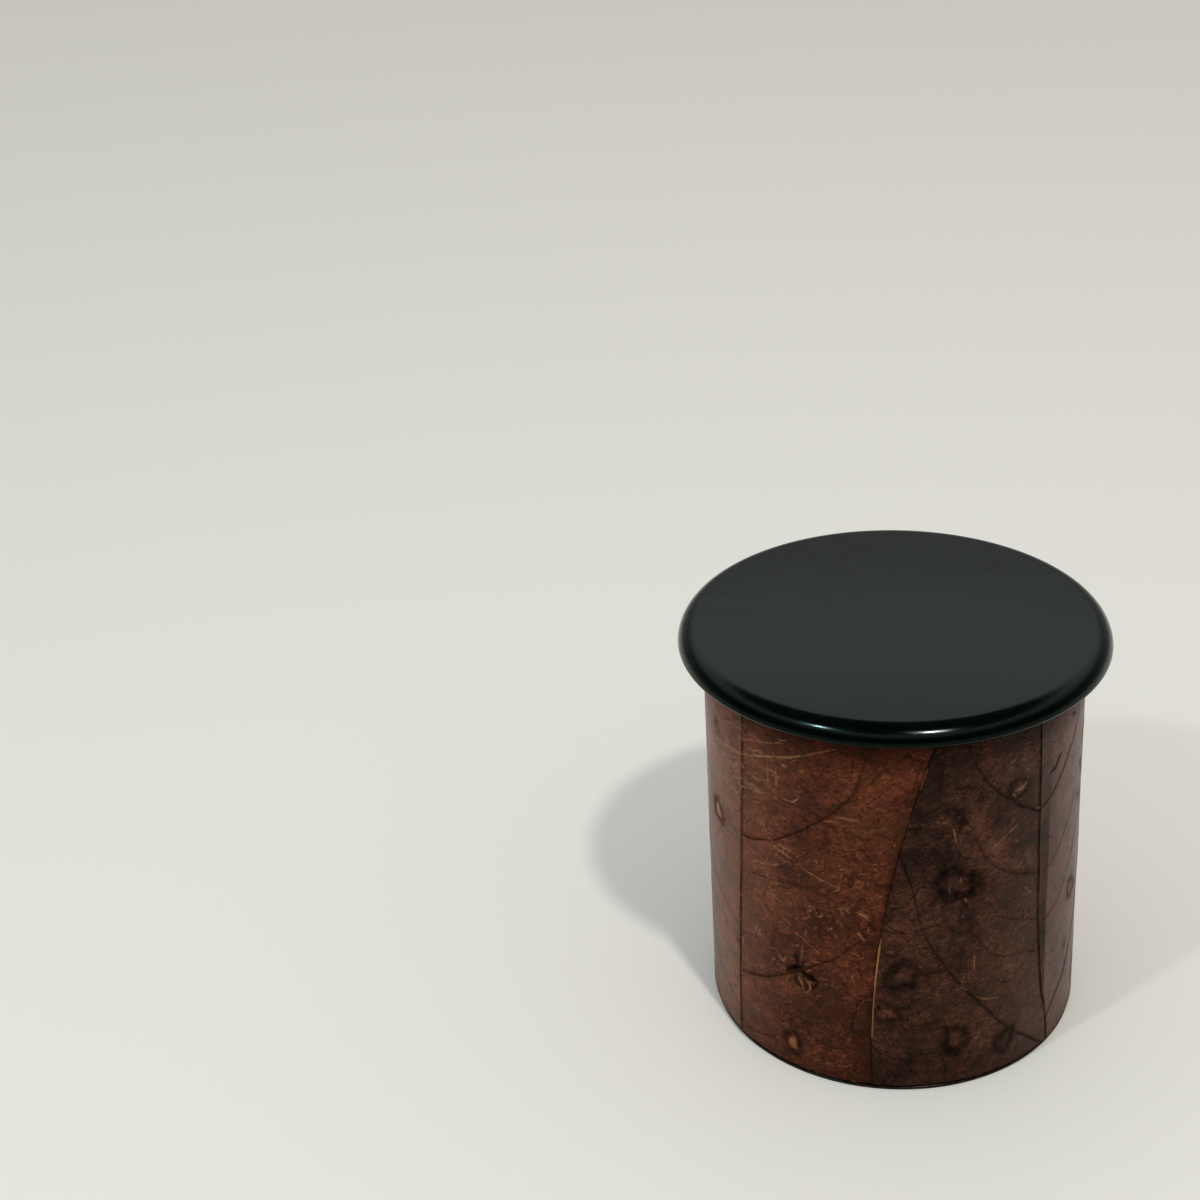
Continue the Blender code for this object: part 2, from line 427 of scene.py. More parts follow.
def turned(name, outline, material, segments=240, sharp=30):
    """Turns an outline of (radius, height) points round the Z axis. The outline runs so that the piece is on
    its left: up the inside and down the outside of a ring. Points on the axis become a single pole."""
    angles = 2 * math.pi * np.arange(segments) / segments
    points, rows = [], []
    for radius, height in outline:
        start = len(points)
        if radius < 1e-6:
            points.append((0.0, 0.0, height))
            rows.append([start] * segments)
        else:
            points += [(radius * math.sin(a), -radius * math.cos(a), height) for a in angles]
            rows.append(list(range(start, start + segments)))
    pairs = list(zip(rows, rows[1:]))
    if outline[0][0] > 1e-6:
        pairs.append((rows[-1], rows[0]))
    faces = []
    for first, second in pairs:
        for here in range(segments):
            after = (here + 1) % segments
            corners = [first[here], second[here], second[after], first[after]]
            faces.append([c for n, c in enumerate(corners) if c not in corners[:n]])
    return as_object(name, points, faces, material, sharp)


def add_lid():
    """The plate, with its low dome, rounded rim and small lip, and the collar under it."""
    lip = 0.55
    lip_centre = (LID_RADIUS - lip, LID_UNDERSIDE + lip)
    crown = 1.0
    rim_end = 6.0  # degrees above level where the rim turns into the lip
    dome_end = 90.0 - 3.3
    turn = arc(lip_centre, lip, rim_end, rim_end, 1)[0]
    dome_foot = LID_TOP - crown
    rim = (dome_foot - turn[1]) / (math.sin(math.radians(dome_end)) - math.sin(math.radians(rim_end)))
    rim_centre = (
        turn[0] - rim * math.cos(math.radians(rim_end)),
        turn[1] - rim * math.sin(math.radians(rim_end)),
    )
    rim_arc = arc(rim_centre, rim, dome_end, rim_end, 28)
    dome_radius = rim_arc[0][0]
    steps = 24
    outline = [(dome_radius * k / steps, LID_TOP - crown * (k / steps) ** 2) for k in range(steps)]
    outline += rim_arc
    outline += arc(lip_centre, lip, rim_end, -90, 14)[1:]
    glue = 0.15
    groove, roof = COLLAR_RADIUS + glue, COLLAR_TOP + 0.1
    inner = COLLAR_RADIUS - COLLAR_THICKNESS - glue
    outline += [(groove, LID_UNDERSIDE), (groove, roof)]
    outline += [(inner, roof), (inner, LID_UNDERSIDE), (0.0, LID_UNDERSIDE)]
    black = lacquer("gloss_black_lacquer", (0.002, 0.004, 0.0038), 0.16, specks=0.25)
    plate = turned("lid_turned_plate", outline, black, segments=360)
    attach(plate, "lid")
    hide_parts("lid_plate")

    soft = 0.35
    inside = COLLAR_RADIUS - COLLAR_THICKNESS
    outline = [(inside, COLLAR_TOP)]
    outline += arc((COLLAR_RADIUS - soft, COLLAR_TOP - soft), soft, 90, 0, 4)
    outline += arc((COLLAR_RADIUS - soft, COLLAR_BOTTOM + soft), soft, 0, -90, 6)
    outline += arc((inside + soft, COLLAR_BOTTOM + soft), soft, -90, -180, 6)
    satin = turned_wood_lacquer("collar_lacquer", (0.010, 0.009, 0.008), 0.26)
    collar = turned("lid_collar_ring", outline, satin)
    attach(collar, "lid")
    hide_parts("lid_collar")


def add_wall_core():
    """The lacquered inside of the caddy with its rounded mouth, the paper round it, and the base board."""
    satin = turned_wood_lacquer("satin_black_lacquer_inside", (0.018, 0.015, 0.013), 0.22)
    soft = 0.8
    top = MOUTH_TOP
    outline = [(MOUTH_RADIUS, WALL_BOTTOM)]
    outline += arc((MOUTH_RADIUS + soft, top - soft), soft, 180, 90, 8)
    outline += arc((CORE_RADIUS - soft, top - soft), soft, 90, 0, 8)
    outline += [(CORE_RADIUS, WALL_BOTTOM)]
    core = turned("lacquered_inner_wall", outline, satin)
    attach(core, "caddy")
    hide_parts("core_tube")

    gap = 0.02
    outline = [
        (CORE_RADIUS + gap, WALL_BOTTOM),
        (CORE_RADIUS + gap, WALL_TOP),
        (LEAF_INNER_RADIUS - gap, WALL_TOP),
        (LEAF_INNER_RADIUS - gap, WALL_BOTTOM),
    ]
    paper = turned("pasted_paper_layer", outline, pasted_paper())
    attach(paper, "caddy")
    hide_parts("paper_wrap")

    board = lacquer(
        "foot_lacquer",
        (0.016, 0.014, 0.012),
        0.28,
        specks=0.6,
        wear=(BOARD_RADIUS - 0.6, BOARD_RADIUS, (0.05, 0.032, 0.02)),
    )
    plug = MOUTH_RADIUS - gap
    edge = 0.22
    hollow, depth = 28.5, 0.5
    outline = [(0.0, BOARD_TOP), (plug - 0.3, BOARD_TOP), (plug, BOARD_TOP - 0.3), (plug, FLANGE_TOP)]
    outline += arc((BOARD_RADIUS - edge, FLANGE_TOP - edge), edge, 90, 0, 4)
    outline += arc((BOARD_RADIUS - edge, edge), edge, 0, -90, 4)
    outline += arc((hollow, depth), depth, -90, -180, 5)
    outline += [(0.0, depth)]
    base = turned("base_board_turned", outline, board)
    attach(base, "caddy")
    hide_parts("base_board")


# ---------- The leaves ----------

STEP = 0.22  # between points of a leaf's surface
UNDERLAP = 0.9  # how far a leaf runs on under the one at its right
STEP_DOWN = 0.20  # how far it is pressed in there
MARGIN_WIDEST = 9.0  # height where a leaf's left margin is furthest left
DEGREE = math.radians(WALL_RADIUS)  # length of one degree round the wall


def margin(angle, drift, z):
    """How far round the wall a leaf's left margin lies at height z. angle and drift are in degrees."""
    share = (z - MARGIN_WIDEST) / (WALL_TOP - MARGIN_WIDEST)
    return (angle + drift * share**2) * DEGREE


NOISE_TABLE = 64  # values along each side of a noise's table


def value_noise(x, y, size, seed):
    """Smooth noise from -1 to 1 with cells of a given size, slanted so that they do not follow the wall."""
    table = np.random.default_rng(seed).uniform(-1, 1, (NOISE_TABLE, NOISE_TABLE))
    x, y = 0.8 * x + 0.6 * y, 0.8 * y - 0.6 * x
    column, row = np.floor(x / size).astype(int), np.floor(y / size).astype(int)
    across, up = x / size - column, y / size - row
    across, up = across**2 * (3 - 2 * across), up**2 * (3 - 2 * up)

    def corner(right, above):
        return table[(column + right) % NOISE_TABLE, (row + above) % NOISE_TABLE]

    low = corner(0, 0) * (1 - across) + corner(1, 0) * across
    high = corner(0, 1) * (1 - across) + corner(1, 1) * across
    return low * (1 - up) + high * up


def smooth_line(points, spacing=0.5):
    """Points every half millimetre or so along a smooth curve through the given ones."""
    points = np.asarray(points, float)
    if len(points) == 2:
        points = np.insert(points, 1, points.mean(0), axis=0)
    padded = np.vstack([2 * points[0] - points[1], points, 2 * points[-1] - points[-2]])
    out = []
    for before, first, second, after in zip(padded, padded[1:], padded[2:], padded[3:]):
        count = max(2, int(np.hypot(*(second - first)) / spacing))
        t = np.linspace(0, 1, count, endpoint=False)[:, None]
        out.append(
            0.5
            * (
                2 * first
                + (second - before) * t
                + (2 * before - 5 * first + 4 * second - after) * t**2
                + (3 * first - before - 3 * second + after) * t**3
            )
        )
    return np.vstack([*out, points[-1:]])


class Wall:
    """The surface of one leaf as a grid of points, with what is drawn and raised on it."""

    def __init__(self, left, right, seed):
        self.seed = seed
        rows = int((WALL_TOP - WALL_BOTTOM) / STEP)
        z = np.linspace(WALL_BOTTOM, WALL_TOP, rows + 1)
        first, last = margin(*left, z), margin(*right, z) + UNDERLAP
        columns = int((last - first).max() / STEP)
        share = np.linspace(0, 1, columns + 1)
        self.s = first[:, None] + (last - first)[:, None] * share
        self.z = np.repeat(z[:, None], columns + 1, axis=1)
        self.from_left = self.s - first[:, None]
        self.to_right = last[:, None] - UNDERLAP - self.s
        wobble = 0.14
        self.u = self.s + wobble * self.noise(2.7, 0)
        self.v = self.z + wobble * self.noise(2.7, 1)
        self.dark = np.zeros_like(self.s)
        self.pale = np.zeros_like(self.s)
        self.tone = np.full_like(self.s, 0.4)
        self.rise = np.zeros_like(self.s)

    def noise(self, size, layer, mask=slice(None)):
        """Smooth noise from -1 to 1 at the leaf's points, with cells of a given size."""
        return value_noise(self.s[mask], self.z[mask], size, self.seed + layer)

    def near(self, line, reach, straight=False):
        """(mask, signed distance, share along) of the points near a line. Left of it is negative."""
        u, v = (self.s, self.z) if straight else (self.u, self.v)
        low, high = line.min(0) - reach, line.max(0) + reach
        mask = (u > low[0]) & (u < high[0]) & (v > low[1]) & (v < high[1])
        spots = np.stack([u[mask], v[mask]], -1)
        best = np.full(len(spots), 1e9)
        side = np.zeros(len(spots))
        along = np.zeros(len(spots))
        for index, (start, end) in enumerate(zip(line, line[1:])):
            way = end - start
            offset = spots - start
            t = np.clip(offset @ way / (way @ way), 0, 1)
            gap = offset - t[:, None] * way
            distance = np.hypot(gap[:, 0], gap[:, 1])
            closer = distance < best
            best[closer] = distance[closer]
            cross = way[1] * offset[:, 0] - way[0] * offset[:, 1]
            side[closer] = np.sign(cross[closer])
            along[closer] = (index + t[closer]) / (len(line) - 1)
        return mask, best * side, along

    def darken(self, mask, amount):
        self.dark[mask] = np.maximum(self.dark[mask], amount)

    def lighten(self, mask, amount):
        self.pale[mask] = np.maximum(self.pale[mask], amount)

    def midrib(self, points, weight=1.0):
        """The central vein: a low fold with a ridge along it, a dark line, and a pale one on its left."""
        line = smooth_line(points)
        mask, side, _ = self.near(line, 5.0, straight=True)
        away = np.abs(side)
        uneven = self.noise(3.0, 7, mask)
        self.rise[mask] += 0.16 * weight * np.clip(1 - away / 4.0, 0, 1) ** 1.3
        self.rise[mask] += 0.10 * weight * np.exp(-((away / 0.32) ** 2))
        self.darken(mask, weight * (0.94 + 0.06 * uneven) * np.exp(-((side / (0.27 + 0.08 * uneven)) ** 2)))
        self.darken(mask, 0.36 * weight * np.exp(-((away / 0.60) ** 2)))
        self.lighten(mask, 0.26 * weight * (0.6 + 0.4 * uneven) * np.exp(-(((side + 0.6) / 0.16) ** 2)))

    def vein(self, strength, points, width=0.24):
        """A side vein: thin, raised, dark, and fading towards its end."""
        line = smooth_line(points)
        mask, side, along = self.near(line, 1.6)
        uneven = self.noise(1.8, 9, mask)
        fade = strength * (1 - 0.15 * along)
        self.rise[mask] += 0.08 * fade * np.exp(-((side / 0.4) ** 2))
        narrow = width * (1 - 0.3 * along)
        self.darken(mask, fade * (0.85 + 0.15 * uneven) * np.exp(-((side / narrow) ** 2)))
        self.darken(mask, 0.32 * fade * np.exp(-((side / 0.6) ** 2)))

    def smudge(self, amount, width, points):
        """A soft ragged dark stroke."""
        mask, side, along = self.near(smooth_line(points), 2.5 * width)
        ragged = width * (1 + 0.45 * self.noise(0.9, 12, mask) + 0.3 * self.noise(0.45, 13, mask))
        ends = np.clip(4 * np.minimum(along, 1 - along), 0.4, 1)
        patchy = 0.80 + 0.20 * self.noise(0.8, 17, mask)
        self.darken(mask, amount * patchy * np.exp(-((side / (ragged * ends)) ** 2)))

    def rub(self, amount, points, width=0.20):
        """One rubbed or scratched line, paler than the leaf."""
        mask, side, along = self.near(smooth_line(points), 5 * width)
        broken = 0.80 + 0.45 * self.noise(0.7, 14, mask)
        ends = np.sin(np.pi * np.clip(along, 0.03, 0.97)) ** 0.35
        self.lighten(mask, amount * broken * ends * np.exp(-((side / width) ** 2)))

    def spot(self, s, z, radius, dark, centre=0.0, gold=0.0, stretch=1.0):
        """A blemish: an uneven dark ring, or a dark patch if centre is 0. centre is how pale its middle is,
        and gold how strong the flecks are that show in it."""
        across, up = self.s - s, (self.z - z) / stretch
        turn = np.arctan2(up, across)
        draw = np.random.default_rng(self.seed + int(10 * z))
        lobes = ((2, 0.11), (3, 0.10), (5, 0.06), (8, 0.03))
        uneven = sum(size * np.cos(count * turn + draw.uniform(0, 2 * math.pi)) for count, size in lobes)
        away = np.hypot(across, up) / radius * (1 + uneven) + 0.12 * self.noise(0.7, 15)
        mask = away < 2.0
        away = away[mask]
        ring = 0.66 if centre else 0.0
        patchy = 0.80 + 0.20 * self.noise(0.9, 5, mask)
        self.darken(mask, dark * patchy * np.exp(-(((away - ring) / (0.40 if centre else 0.55)) ** 2)))
        self.darken(mask, 0.40 * dark * np.exp(-((away / 1.15) ** 2)))
        middle = np.exp(-((away / 0.40) ** 2))
        self.tone[mask] += centre * middle
        self.dark[mask] *= 1 - 0.85 * min(1.0, centre) * middle
        flecked = np.clip(0.75 + 0.6 * self.noise(0.5, 6, mask), 0, 1)
        self.lighten(mask, gold * np.clip(flecked * (1.6 - 2.2 * away), 0, 1))
        self.rise[mask] += 0.05 * dark * np.exp(-((away / 0.5) ** 2))

    def blob(self, s, z, wide, tall, amount):
        """Shifts the leaf's colour softly round a place."""
        self.tone += amount * np.exp(-(((self.s - s) / wide) ** 2) - ((self.z - z) / tall) ** 2)

    def past(self, edge, side, amount):
        """Makes the leaf paler on one side of a line of (s, z) going up: -1 is its left and 1 its right."""
        s, z = np.transpose(edge)
        beyond = side * (self.s - np.interp(self.z, z, s))
        self.tone += amount * np.clip(beyond / 0.35, 0, 1)

    def scratches(self, s, z, wide, tall, count, angle, strength=0.6, length=3.0, spread=16):
        """Short rubbed lines scattered round a place, near an angle in degrees."""
        draw = np.random.default_rng(self.seed + int(10 * z))
        for _ in range(count):
            start = np.array([draw.normal(s, wide), draw.normal(z, tall)])
            turn = math.radians(draw.normal(angle, spread))
            reach = length * draw.uniform(0.3, 1.2)
            way = reach * np.array([math.cos(turn), math.sin(turn)])
            bow = draw.normal(0, 0.12) * np.array([-way[1], way[0]])
            self.rub(strength * draw.uniform(0.6, 1.35), [start, start + way / 2 + bow, start + way], 0.16)

    def edges(self, worn):
        """The pressed-down right margin with painted shade along it, the standing left one, and the rubbed
        stretches of the left one.
        worn is a list of (lowest height, highest height, amount)."""
        near = np.clip(1 - self.to_right / 2.2, 0, 1)
        self.rise -= STEP_DOWN * near**1.5
        # Painted shade: darker towards the right margin, where it runs under the next leaf's edge.
        self.dark = np.maximum(self.dark, 0.60 * np.clip(1 - self.to_right / 0.5, 0, 1) ** 1.5)
        self.dark = np.maximum(self.dark, 0.35 * np.clip(1 - self.to_right / 4.0, 0, 1) ** 2)
        self.rise -= 0.10 * np.clip(1 - self.from_left / 0.25, 0, 1) ** 2
        line = 0.62 + 0.22 * value_noise(self.s * 0, self.z, 4.0, self.seed + 10)
        self.dark = np.maximum(self.dark, line * np.exp(-((self.from_left / 0.24) ** 2)))
        rag = 1.2 * value_noise(self.s * 0, self.z, 1.6, self.seed + 11)
        for low, high, amount in worn:
            inside = np.clip((self.z - low + rag) / 1.5, 0, 1) * np.clip((high - self.z + rag) / 1.5, 0, 1)
            inside *= amount * np.exp(-((self.from_left / 0.24) ** 2))
            self.pale = np.maximum(self.pale, inside)
            self.dark *= 1 - inside

    def weather_and_shade(self):
        """What every leaf has: slow waves, wear and a dark line along the foot, darkening towards the foot,
        and painted shade from the lid along the top of the wall.
        """
        self.rise += 0.035 * self.noise(7.0, 20)
        self.rise += 0.016 * self.noise(2.2, 21)
        up = self.z - WALL_BOTTOM
        chips = np.clip(self.noise(1.1, 22) - 0.45, 0, 1) * 1.6
        self.pale = np.maximum(self.pale, 0.55 * chips * np.exp(-((up / 0.6) ** 2)))
        self.dark = np.maximum(self.dark, 0.65 * np.exp(-((up / 0.45) ** 2)) * (1 - chips))
        self.dark = np.maximum(self.dark, 0.30 * np.exp(-(up / 2.5)))
        # Painted shade: the top of the wall darkens for some 6.5 mm under the lid, where the lid shades it.
        self.dark = np.maximum(self.dark, 0.52 * np.exp(-(((WALL_TOP - self.z) / 6.5) ** 2)))

    def solid(self, name, material):
        """The finished leaf: its outer surface, a plain inner one, and the thin edges between them."""
        rows, columns = self.s.shape
        round_off = 0.12 * np.clip(1 - (self.z - WALL_BOTTOM) / 0.3, 0, 1) ** 2
        outer = WALL_RADIUS + self.rise - round_off
        turn = self.s / WALL_RADIUS
        front = np.stack([outer * np.sin(turn), -outer * np.cos(turn), self.z], -1).reshape(-1, 3)
        coarse = 16
        picks = sorted({*range(0, columns, coarse), columns - 1})
        inner = LEAF_INNER_RADIUS + 0.12 * np.clip(1 - self.from_left[:, picks] / 1.0, 0, 1)
        inner = np.minimum(inner, outer[:, picks] - 0.05)
        angle = turn[:, picks]
        back = np.stack([inner * np.sin(angle), -inner * np.cos(angle), self.z[:, picks]], -1).reshape(-1, 3)
        fore = np.arange(rows * columns).reshape(rows, columns)
        rear = fore.size + np.arange(rows * len(picks)).reshape(rows, len(picks))
        faces = []
        for corners in (
            (fore[:-1, :-1], fore[:-1, 1:], fore[1:, 1:], fore[1:, :-1]),
            (rear[:-1, :-1], rear[1:, :-1], rear[1:, 1:], rear[:-1, 1:]),
            (fore[:-1, 0], fore[1:, 0], rear[1:, 0], rear[:-1, 0]),
            (fore[1:, -1], fore[:-1, -1], rear[:-1, -1], rear[1:, -1]),
        ):
            faces += np.stack(corners, -1).reshape(-1, 4).tolist()
        for index, (start, end) in enumerate(zip(picks, picks[1:])):
            low = fore[0, start : end + 1].tolist()
            faces.append(low[::-1] + [rear[0, index], rear[0, index + 1]])
            high = fore[-1, start : end + 1].tolist()
            faces.append(high + [rear[-1, index + 1], rear[-1, index]])
        leaf = as_object(name, np.vstack([front, back]), faces, material, sharp=50)
        self.store(leaf, "wall", (self.s, self.z, np.full_like(self.s, 40.0 * self.seed)), picks)
        self.store(leaf, "marks_and_painted_light", (self.dark, self.pale, self.tone), picks)
        return leaf

    def store(self, leaf, name, values, picks):
        """Keeps three values for each point of the leaf under a name."""
        whole = np.stack(values, -1)
        both = np.vstack([whole.reshape(-1, 3), whole[:, picks].reshape(-1, 3)])
        attribute = leaf.data.attributes.new(name, "FLOAT_VECTOR", "POINT")
        attribute.data.foreach_set("vector", both.astype(np.float32).ravel())


def feather(midrib, heights, reach, rise, side, seed):
    """Side veins for one half of a leaf: each leaves the midrib at a height and arches up to the margin."""
    draw = np.random.default_rng(seed)
    line = smooth_line(midrib)
    veins = []
    for height in heights:
        foot = line[np.argmin(np.abs(line[:, 1] - height))]
        far, up = reach * draw.uniform(0.9, 1.05), rise * draw.uniform(0.85, 1.15)
        arch = [(0.0, 0.0), (0.32, 0.16), (0.70, 0.48), (1.0, 1.0)]
        veins.append(
            (draw.uniform(0.55, 0.85), [(foot[0] + side * far * a, foot[1] + up * b) for a, b in arch])
        )
    return veins


# A seam is the left margin of the leaf that starts there: (angle at its widest height, drift at the mouth).
SEAMS = {
    "front_right": (-5.7, 19.0),
    "back_right": (98.0, 15.0),
    "back_left": (176.0, 21.0),
    "front_left": (255.0, 13.0),
}
FULL_TURN = 360.0


# What is drawn on the two front leaves. Each row holds what one call of a Wall's method takes, and each point
# is (s, z). Veins are (strength, points), smudges (amount, width, points), rubbed lines (amount, points),
# spots (s, z, radius, dark, centre, gold, stretch), and blobs (s, z, wide, tall, amount).
RED_MIDRIB = [(-30.9, 0), (-30.5, 18), (-29.4, 38), (-28.4, 56), (-27.9, 72)]
RED_VEINS = (
    (0.95, [(-29, 44.4), (-26.4, 44.9), (-23.7, 46), (-20, 47.6), (-13.7, 52.6), (-9.3, 56.4),
        (-5.9, 61), (-4.2, 67)]),
    (0.9, [(-30, 15), (-23.1, 17.6), (-18.7, 20.4), (-13.7, 23.9), (-8.7, 27.6), (-2.6, 34.2)]),
    (0.6, [(-26.2, 37.9), (-18.1, 39.5), (-12.5, 40.4), (-9.3, 42.6), (-6, 44), (-2.4, 48.3)]),
    (0.55, [(-29.6, 2.6), (-23.1, 4.5), (-19.3, 7.6), (-15, 11.5)]),
    (0.6, [(-8.7, 2.4), (-6.4, 4.6), (-4.2, 7.8)]),
    (0.5, [(-6.2, 16.4), (-6.5, 11.4), (-4.3, 7.6)]),
    (0.5, [(-10.6, 55.4), (-8, 49), (-3.4, 45.5)]),
    (0.45, [(-11.2, 35.1), (-12.1, 30.8), (-9.3, 27)]),
    (0.45, [(-16, 60.5), (-13, 57.5), (-10.4, 55.6)]),
    (0.4, [(-22, 38.8), (-23.5, 34), (-21, 29), (-22.2, 24), (-20.5, 19.6)]),
)
RED_SMUDGES = (
    (1.2, 0.8, [(-18.8, 20.9), (-17.6, 22.3), (-15.8, 23)]),
    (1.1, 0.85, [(-15.8, 22.2), (-14.2, 21.4), (-12.7, 20.9)]),
    (1.05, 0.36, [(-16.9, 25.4), (-16.6, 23)]),
    (1, 0.32, [(-15.4, 24.6), (-15.8, 22.6)]),
    (0.95, 0.4, [(-12.7, 20.8), (-13.2, 19.8), (-14.2, 19.2)]),
    (0.95, 0.36, [(-17, 21), (-16.8, 19.4), (-15.8, 18.6)]),
    (0.85, 0.3, [(-15.6, 20.6), (-14.9, 19.4), (-15.1, 18.4)]),
    (0.75, 0.45, [(-18.1, 11.2), (-17.9, 10)]),
    (0.85, 0.55, [(-3.6, 35.2), (-2.7, 33.4)]),
)
RED_SCAR = (-17.8, 6, 1.8, 0.85, 0.5, 0.52, 1.6)
RED_SCAR_SMUDGES = (
    (0.9, 0.35, [(-17.9, 5.6), (-17.2, 4.9), (-17.5, 4.2)]),
    (0.8, 0.25, [(-17.4, 8.6), (-16.7, 6.8), (-16.6, 5.2)]),
)
RED_SPOTS = (
    (-37.8, 44.4, 2.6, 0.75, 0.8, 0.7), (-37.5, 62, 2.6, 0.6), (-31.2, 20.6, 0.7, 0.85),
)
RED_BLOBS = (
    (-9, 55, 9, 14, -0.1), (-24, 60, 12, 12, 0.2), (-26, 28, 4, 22, 0.2), (-8, 10, 12, 12, -0.38),
    (-6, 24, 7, 12, -0.22),
)
RED_RUBBED = (
    (0.85, [(-38.7, 59.2), (-32.5, 60), (-28.4, 60.8), (-21.8, 63.2), (-16.8, 65), (-9.3, 68.2)]),
    (0.5, [(-28.4, 63.9), (-23.1, 65.4), (-18.1, 67)]),
    (0.6, [(-22.2, 62.4), (-22.1, 57.5)]),
    (0.7, [(-20.3, 62.2), (-20.4, 57.4)]),
    (0.75, [(-19.9, 56), (-17, 56.1), (-15.8, 57.4), (-17, 57.5)]),
    (0.55, [(-36.8, 57.8), (-33, 57.2), (-29.3, 57.3)]),
    (0.55, [(-33.6, 56.4), (-29.5, 56.4)]),
    (0.6, [(-27.9, 56.1), (-24.4, 55.6), (-20.6, 55.7)]),
    (0.5, [(-27.2, 54.8), (-25.3, 55.3)]),
    (0.55, [(-38.5, 52.3), (-33, 52.4), (-29.4, 52.2)]),
    (0.45, [(-23.4, 51.6), (-23.3, 47.6)]),
    (0.5, [(-21.2, 51.4), (-19.6, 50.2)]),
    (0.75, [(-22.5, 46.9), (-19.5, 46.4), (-16.4, 45.8)]),
    (0.65, [(-22.3, 45.9), (-19.6, 45.2), (-16.8, 44.5)]),
    (0.55, [(-23.2, 46), (-20.8, 44.2), (-18.7, 44)]),
    (0.6, [(-16.5, 44), (-13.5, 42.8), (-11.2, 42), (-8.7, 41.4)]),
    (0.6, [(-26.8, 38.4), (-26, 40.4), (-21.8, 41.7), (-18.7, 43.3)]),
    (0.5, [(-23.1, 38.4), (-21.8, 35.8), (-19.6, 34.6)]),
    (0.5, [(-12.5, 36.4), (-8.7, 36.2)]),
    (0.7, [(-5.9, 37), (-3.8, 36)]),
    (0.8, [(-5.6, 33.2), (-4.9, 31.9), (-4.2, 31.4)]),
    (0.6, [(-9.3, 55.4), (-5, 55.1)]),
    (0.5, [(-11.8, 53.9), (-9.2, 54.4), (-6.8, 53.5)]),
    (0.45, [(-6.2, 49.2), (-4.6, 47.3)]),
    (0.6, [(-17.5, 29.9), (-15.3, 28.9), (-13.7, 27.8), (-11.8, 26.8)]),
    (0.6, [(-9.3, 26.4), (-7.8, 25.8), (-6, 25.4)]),
    (0.6, [(-25.2, 28), (-26.4, 25.3), (-28.6, 24.7)]),
    (0.5, [(-24.8, 27), (-25.6, 25.2)]),
    (0.6, [(-15.6, 27.8), (-15.9, 24.6)]),
    (0.6, [(-21.3, 24.6), (-19.6, 22.7), (-18.9, 24.4)]),
    (0.75, [(-16.5, 20.8), (-15.9, 19.6), (-15.5, 17.8)]),
    (0.75, [(-15.3, 20.5), (-14.3, 19.6), (-14.5, 18.3), (-15.5, 17.6)]),
    (0.6, [(-14.5, 20.6), (-13.7, 20.1)]),
    (0.55, [(-22.6, 21.4), (-22.2, 20)]),
    (0.5, [(-25.4, 18.8), (-23.7, 19.4)]),
    (0.55, [(-20.2, 32), (-18, 31), (-19.2, 29.6)]),
    (0.45, [(-14.8, 35.4), (-13.8, 33.6)]),
    (0.4, [(-29.4, 15.2), (-27.6, 16.4)]),
)
RED_STAR = (-8.7, 42.8)  # where six scratches meet
RED_STAR_RAYS = (15, 75, 130, 200, 265, 320)  # their directions, in degrees
RED_FLAKES = ((-18.7, 62.6), (-15.4, 62.6), (-30.3, 52), (-30, 58), (-23.4, 16), (-32.4, 27.6))
RED_SCRATCHES = (
    (-26, 61, 5, 3, 46, 4, 0.55), (-30, 55, 5, 2, 34, 2, 0.55), (-22, 50, 5, 6, 40, -20, 0.42, 2, 60),
    (-14, 36, 7, 6, 80, 30, 0.48, 1.5, 70), (-19, 26, 5, 5, 60, -40, 0.48, 1.5, 60),
    (-34, 35, 5, 18, 40, 25, 0.4, 2.2), (-6.5, 42, 3, 5, 40, -30, 0.5, 1.3, 60),
    (-8, 52, 4, 7, 34, -35, 0.38, 1.8, 35), (-16, 12, 7, 5, 30, 20, 0.32, 1.5, 60),
)

DARK_MIDRIB = [(32.1, 0), (31.2, 8), (29.6, 14), (28.5, 24), (27.9, 33), (27.4, 52), (26.9, 72)]
DARK_FOLD = 30.6  # s of the right edge of the shaded fold beside the midrib
DARK_VEINS = (
    (1, [(27.3, 51.3), (21.9, 55.2), (17, 59.9), (13.6, 65.6), (12.3, 71)]),
    (0.8, [(27.6, 39), (21.7, 41.4), (16.7, 45.6), (13.9, 51), (11.5, 52.4), (8.6, 52.9), (3.4, 53.7)]),
    (0.6, [(28.2, 29), (24.4, 30.8), (18.2, 33.9)]),
    (0.65, [(28.7, 22.4), (24.4, 23.9), (18.8, 25.6), (14.6, 31), (12.9, 37)]),
    (1, [(31, 0.8), (21.9, 8.9), (16.7, 15.5), (10, 24.5), (5.5, 33.3), (3.2, 43.2), (1.3, 49.6)]),
    (0.75, [(-1.4, 33.9), (1.5, 33.3), (5.2, 33.2)]),
    (0.6, [(5, 25.1), (9.6, 25.1)]),
    (0.5, [(3.2, 13.9), (12.6, 14.5)]),
    (0.65, [(-3.1, 9.5), (-1.2, 5.8), (2, 1.6)]),
    (0.6, [(12, 40.6), (12.9, 37.2), (13.6, 33.2), (13.8, 29)]),
    (0.6, [(8.3, 66.7), (8, 62.6), (7.4, 59)]),
    (0.5, [(5.8, 63.8), (9, 63.2), (12.5, 64)]),
    (0.75, [(27.6, 51.4), (30.7, 52.8), (34.4, 55.8), (39.4, 61.4), (42, 67)]),
    (0.9, [(31.9, 6.4), (35, 8.9), (38.8, 12), (42.4, 17), (46, 25), (50, 37)]),
    (0.5, [(27.6, 38.3), (31.3, 38.9), (35, 41.4), (41, 48)]),
    (0.45, [(28.4, 27), (36, 31), (46, 45)]),
    (0.45, [(15.4, 12.8), (15.2, 9.6)]),
)
